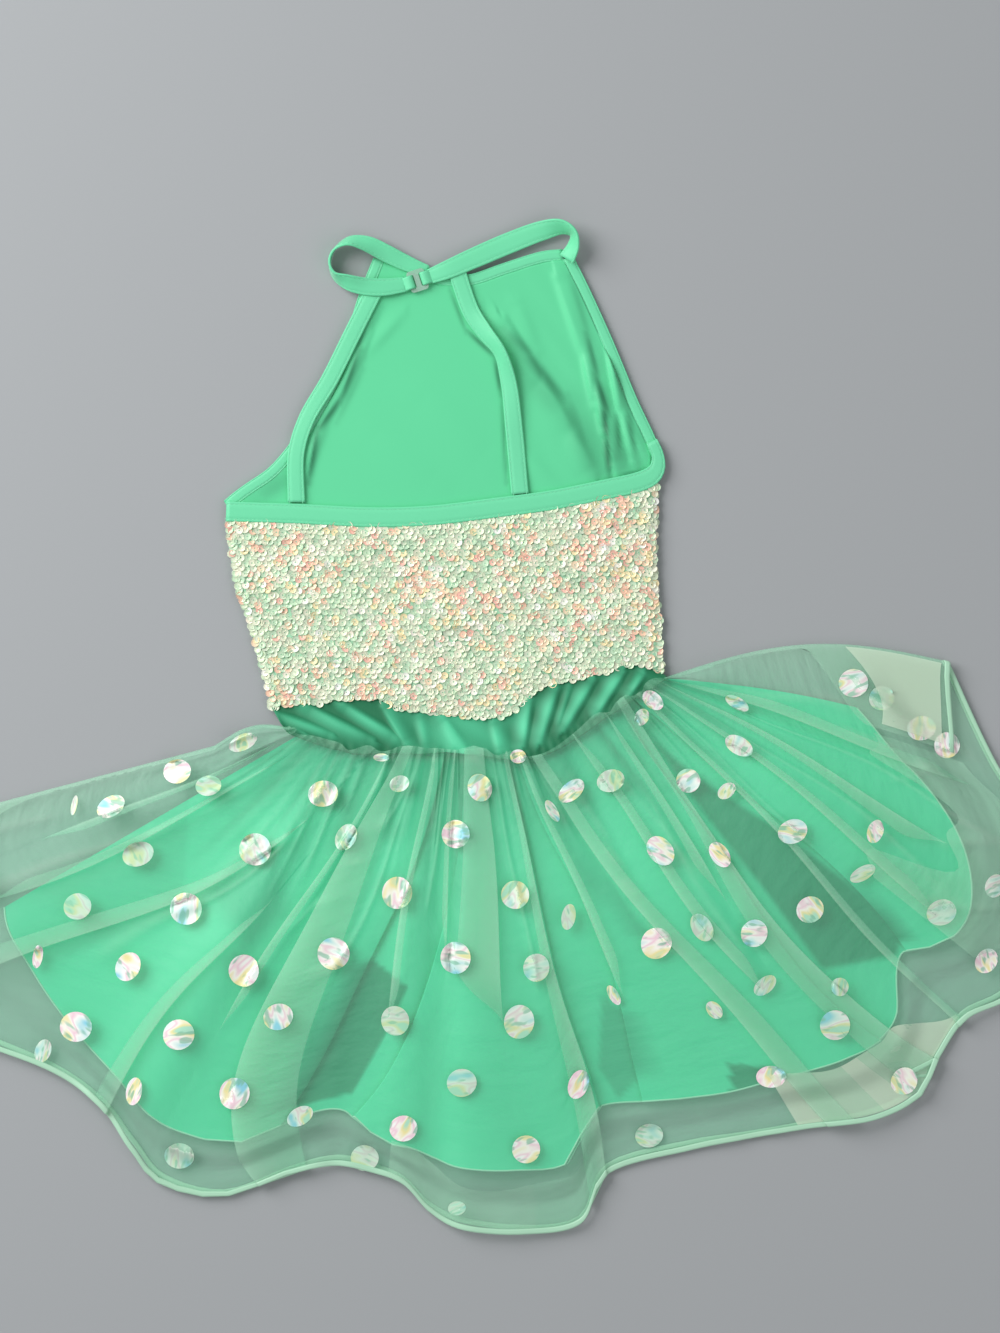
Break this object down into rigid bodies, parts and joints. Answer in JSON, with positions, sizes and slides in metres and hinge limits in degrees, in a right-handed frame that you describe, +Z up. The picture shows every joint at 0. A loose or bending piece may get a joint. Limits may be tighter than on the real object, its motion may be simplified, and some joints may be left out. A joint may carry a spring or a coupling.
{
  "type": "child's dance costume",
  "caption": "Child's halter dance costume with a sequinned bodice and a two-layer dotted skirt, laid flat with its open back uppermost.",
  "frame": {"origin": "middle of the footprint, on the floor that the costume lies on", "axes": "+X across the garment, to the right as it is looked down on with the neck away from the viewer, +Y from the skirt's hem towards the neck, +Z up from the floor"},
  "size_m": [0.7356, 0.6074, 0.0251],
  "materials": {
    "lycra": "mint green stretch tape with a slight sheen, folded and stitched",
    "lining": "smooth mint green stretch tricot",
    "sequin_cloth": "stretch ground covered with small iridescent cup sequins in cream and pale mint with coral glints",
    "yoke_cloth": "gathered green stretch satin",
    "underskirt": "soft mint green tricot that lets a little light through",
    "overskirt": "sheer pale green organza with round silver foil dots",
    "edging": "narrow pale green hem binding with a soft sheen",
    "plastic": "clear plastic, slightly green"
  },
  "bodies": {
    "root": {"front_panel": "sequin_cloth", "front_lining": "lining", "armhole_binding_left": "lycra", "armhole_binding_right": "lycra", "neckline_binding": "lycra", "back_panel": "sequin_cloth", "back_band": "lycra", "back_strap_left": "lycra", "back_strap_right": "lycra", "neck_strap_left": "lycra", "neck_strap_right": "lycra", "closure_hook": "plastic", "yoke_front": "yoke_cloth", "yoke_back": "yoke_cloth", "overskirt_back": "overskirt", "hem_edging_back": "edging", "underskirt_back": "underskirt", "overskirt_front": "overskirt", "hem_edging_front": "edging", "underskirt_front": "underskirt"}
  },
  "joints": []
}
